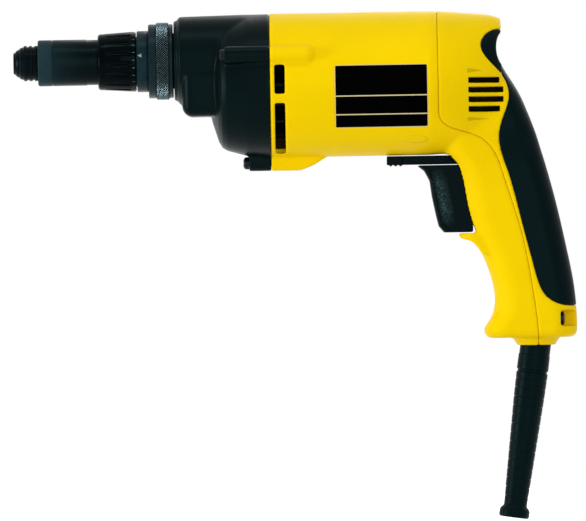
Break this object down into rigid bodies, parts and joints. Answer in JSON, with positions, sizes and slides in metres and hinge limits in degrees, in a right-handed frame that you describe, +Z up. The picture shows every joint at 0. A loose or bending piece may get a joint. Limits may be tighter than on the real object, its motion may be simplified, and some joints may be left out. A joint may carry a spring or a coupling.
{
  "type": "drywall screwdriver",
  "caption": "Corded pistol-grip drywall screwdriver with a geared spindle, a press-in clutch and a pull-off depth-setting nosepiece.",
  "frame": {"origin": "tip of the screw bit on the spindle axis, at rest", "axes": "-X out of the nose along the spindle, +Z up from the handle to the barrel, -Y the tool's left side"},
  "size_m": [0.2962, 0.0778, 0.2701],
  "materials": {
    "yellow_shell": "fine moulded satin",
    "black_case": "satin black",
    "black_nylon": "moulded satin",
    "gloss_black": "gloss",
    "slate_rubber": "matt",
    "index_grey": "satin",
    "label_black": "satin film",
    "steel": "machined",
    "dark_steel": "black oxide",
    "zinc_screw": "zinc plated",
    "bronze": "sintered",
    "brass": "bright",
    "copper_wire": "enamelled",
    "laminate": "stacked steel sheet",
    "carbon": "pressed carbon",
    "aluminium": "die cast",
    "lead_jacket": "smooth"
  },
  "bodies": {
    "body": {"gear_case": "black_case", "gear_case_screws": "dark_steel", "spindle_bush": "bronze", "bearing_plate": "aluminium", "gear_bush": "bronze", "front_bearing_outer": "steel", "front_bearing_balls": "steel", "rear_bearing_outer": "steel", "rear_bearing_balls": "steel", "field_core": "laminate", "field_windings": "copper_wire", "brush_holders": "brass", "brushes": "carbon", "brush_springs": "steel", "motor_housing": "yellow_shell", "side_labels": "label_black", "rear_grip": "slate_rubber", "handle_cover": "yellow_shell", "handle_cover_screws": "zinc_screw", "trigger_spring": "steel", "trigger_switch": "black_nylon", "lead_wires": "lead_jacket", "cord_clamp": "black_nylon", "cord_clamp_screws": "zinc_screw", "cord_protector": "slate_rubber"},
    "armature": {"armature_shaft": "steel", "armature_core": "laminate", "armature_windings": "copper_wire", "commutator": "copper_wire", "cooling_fan": "black_nylon", "front_bearing_inner": "steel", "rear_bearing_inner": "steel"},
    "gear": {"spindle_gear": "steel"},
    "spindle_slide": {"thrust_washer": "bronze"},
    "spindle": {"spindle": "steel", "screw_bit": "dark_steel", "bit_holder": "steel", "bit_ring": "steel", "bit_magnet": "dark_steel", "clutch_spring": "steel"},
    "nosepiece": {"knurled_collar": "dark_steel", "index_ring": "index_grey", "lock_spring_ring": "steel"},
    "collar": {"adjuster_collar": "gloss_black"},
    "nose": {"nose_sleeve": "black_nylon", "nose_tip": "black_nylon"},
    "trigger": {"trigger": "black_nylon"},
    "lever": {"reversing_lever": "black_nylon"}
  },
  "joints": [
    {"name": "armature_spin", "type": "hinge", "parent": "body", "child": "armature", "pos_m": [0.17, 0, -0.014], "axis": [1, 0, 0], "continuous": true},
    {"name": "gear_spin", "type": "hinge", "parent": "body", "child": "gear", "pos_m": [0.112, 0, 0], "axis": [1, 0, 0], "continuous": true},
    {"name": "spindle_press", "type": "slide", "parent": "body", "child": "spindle_slide", "axis": [1, 0, 0], "range_m": [0, 0.0025], "stiffness_N_per_m": 3000, "springref_m": -0.003, "deforming": ["clutch_spring"]},
    {"name": "spindle_spin", "type": "hinge", "parent": "spindle_slide", "child": "spindle", "pos_m": [0.08, 0, 0], "axis": [1, 0, 0], "continuous": true},
    {"name": "nose_release", "type": "slide", "parent": "body", "child": "nosepiece", "axis": [-1, 0, 0], "range_m": [0, 0.085]},
    {"name": "collar_turn", "type": "hinge", "parent": "nosepiece", "child": "collar", "pos_m": [0.049, 0, 0], "axis": [1, 0, 0], "range_deg": [-540.5, 540.5]},
    {"name": "nose_depth", "type": "slide", "parent": "nosepiece", "child": "nose", "axis": [-1, 0, 0], "range_m": [-0.00375, 0.00375]},
    {"name": "trigger_pull", "type": "slide", "parent": "body", "child": "trigger", "axis": [1, 0, 0], "range_m": [0, 0.007], "stiffness_N_per_m": 700, "springref_m": -0.006, "deforming": ["trigger_spring"]},
    {"name": "reverse_lever", "type": "hinge", "parent": "body", "child": "lever", "pos_m": [0.236, 0, -0.055], "axis": [0, 0, 1], "range_deg": [-12, 12]}
  ],
  "couplings": [
    {"joint": "gear_spin", "follows": "armature_spin", "ratio": -0.25},
    {"joint": "spindle_spin", "follows": "armature_spin", "ratio": -0.25},
    {"joint": "collar_turn", "follows": "nose_depth", "rad_per_m": 2513.3}
  ]
}
